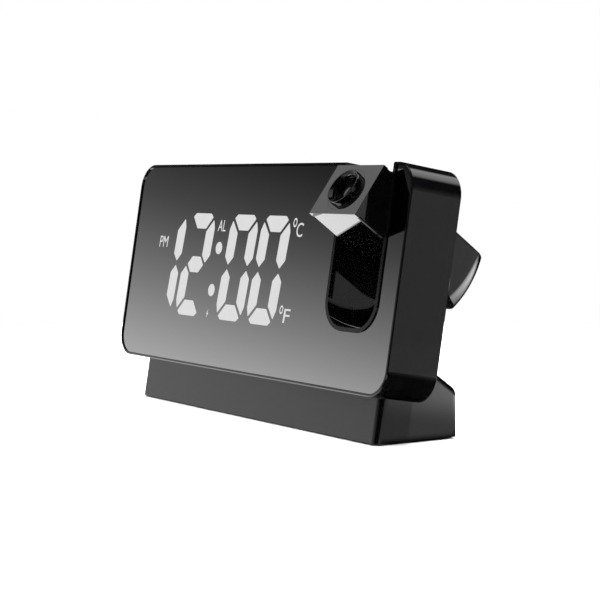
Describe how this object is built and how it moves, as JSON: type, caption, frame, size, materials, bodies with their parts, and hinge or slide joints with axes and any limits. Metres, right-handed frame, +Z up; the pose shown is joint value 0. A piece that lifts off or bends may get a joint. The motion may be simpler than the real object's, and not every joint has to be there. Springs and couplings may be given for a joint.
{
  "type": "projection alarm clock",
  "caption": "Leaning mirror-faced digital alarm clock on a low foot, with a tilting projector arm set in a slot near one end.",
  "frame": {"origin": "centre of the overall box at table level, under the rubber pads", "axes": "+X to the viewer's right along the clock's length, +Y away from the viewer, +Z up"},
  "size_m": [0.19, 0.0588, 0.0965],
  "materials": {
    "housing": "black moulded plastic with a high gloss",
    "mirror": "smoked mirror acrylic",
    "cover": "black moulded plastic with a fine grain",
    "button": "black moulded plastic, satin",
    "arm": "black moulded plastic with a high gloss",
    "ring": "black moulded plastic, turned ring",
    "optic": "clear polished lens",
    "slide": "liquid crystal picture slide",
    "reflector": "white moulded reflector",
    "lit": "white diffuser film, lit from behind",
    "dark": "grey diffuser film",
    "board": "green glass-fibre circuit board with solder mask",
    "chip": "light-emitting chip with phosphor",
    "switch": "black switch body",
    "steel": "zinc plated steel",
    "nylon": "natural nylon",
    "cone": "black pressed paper and steel basket",
    "pad": "black soft rubber"
  },
  "bodies": {
    "clock_case": {"front_housing": "housing", "mirror_panel": "mirror", "display_reflector": "reflector", "segments_lit": "lit", "segments_dark": "dark", "display_board": "board", "display_light_chips": "chip", "back_cover": "cover", "cover_screws": "steel", "main_board": "board", "button_switches": "switch", "snooze_switch": "switch", "speaker": "cone", "washer_left": "nylon", "washer_right": "nylon", "foot_front": "housing", "foot_rear": "housing", "base_plate": "cover", "base_screws": "steel", "foot_pad_front_left": "pad", "foot_pad_front_right": "pad", "foot_pad_rear_left": "pad", "foot_pad_rear_right": "pad", "power_socket": "steel", "usb_socket": "steel", "power_board": "board", "coin_cell": "steel", "cell_cup": "nylon"},
    "projector": {"projector_arm": "arm", "projector_face": "arm", "optics_carrier": "cover", "picture_slide": "slide", "condenser_lens": "optic", "lamp_board": "board", "projection_lamp": "optic", "axle_left": "nylon", "axle_right": "nylon", "axle_clip": "steel"},
    "focus": {"focus_ring": "ring", "projection_lens": "optic"},
    "battery_door": {"battery_door": "cover"},
    "snooze": {"snooze_bar": "button"},
    "button_mode": {"button_mode": "button"},
    "button_up": {"button_up": "button"},
    "button_down": {"button_down": "button"},
    "button_first_alarm": {"button_first_alarm": "button"},
    "button_second_alarm": {"button_second_alarm": "button"},
    "button_flip": {"button_flip": "button"}
  },
  "joints": [
    {"name": "projector_tilt", "type": "hinge", "parent": "clock_case", "child": "projector", "pos_m": [0.0688, -0.00621, 0.07462], "axis": [1, 0, 0], "range_deg": [-153.1, 26.9]},
    {"name": "focus_turn", "type": "hinge", "parent": "projector", "child": "focus", "pos_m": [0.0688, -0.00621, 0.07462], "axis": [0, -0.808, 0.5892], "range_deg": [-170, 170]},
    {"name": "battery_door_turn", "type": "hinge", "parent": "clock_case", "child": "battery_door", "pos_m": [0.032, -0.00205, 0.0006], "axis": [0, 0, 1], "range_deg": [-45, 0]},
    {"name": "snooze_press", "type": "slide", "parent": "clock_case", "child": "snooze", "axis": [0, -0.1599, -0.9871], "range_m": [0, 0.0006], "stiffness_N_per_m": 2500},
    {"name": "button_mode_press", "type": "slide", "parent": "clock_case", "child": "button_mode", "axis": [0, -0.9871, 0.1599], "range_m": [0, 0.0006], "stiffness_N_per_m": 1500},
    {"name": "button_up_press", "type": "slide", "parent": "clock_case", "child": "button_up", "axis": [0, -0.9871, 0.1599], "range_m": [0, 0.0006], "stiffness_N_per_m": 1500},
    {"name": "button_down_press", "type": "slide", "parent": "clock_case", "child": "button_down", "axis": [0, -0.9871, 0.1599], "range_m": [0, 0.0006], "stiffness_N_per_m": 1500},
    {"name": "button_first_alarm_press", "type": "slide", "parent": "clock_case", "child": "button_first_alarm", "axis": [0, -0.9871, 0.1599], "range_m": [0, 0.0006], "stiffness_N_per_m": 1500},
    {"name": "button_second_alarm_press", "type": "slide", "parent": "clock_case", "child": "button_second_alarm", "axis": [0, -0.9871, 0.1599], "range_m": [0, 0.0006], "stiffness_N_per_m": 1500},
    {"name": "button_flip_press", "type": "slide", "parent": "clock_case", "child": "button_flip", "axis": [0, -0.9871, 0.1599], "range_m": [0, 0.0006], "stiffness_N_per_m": 1500}
  ]
}
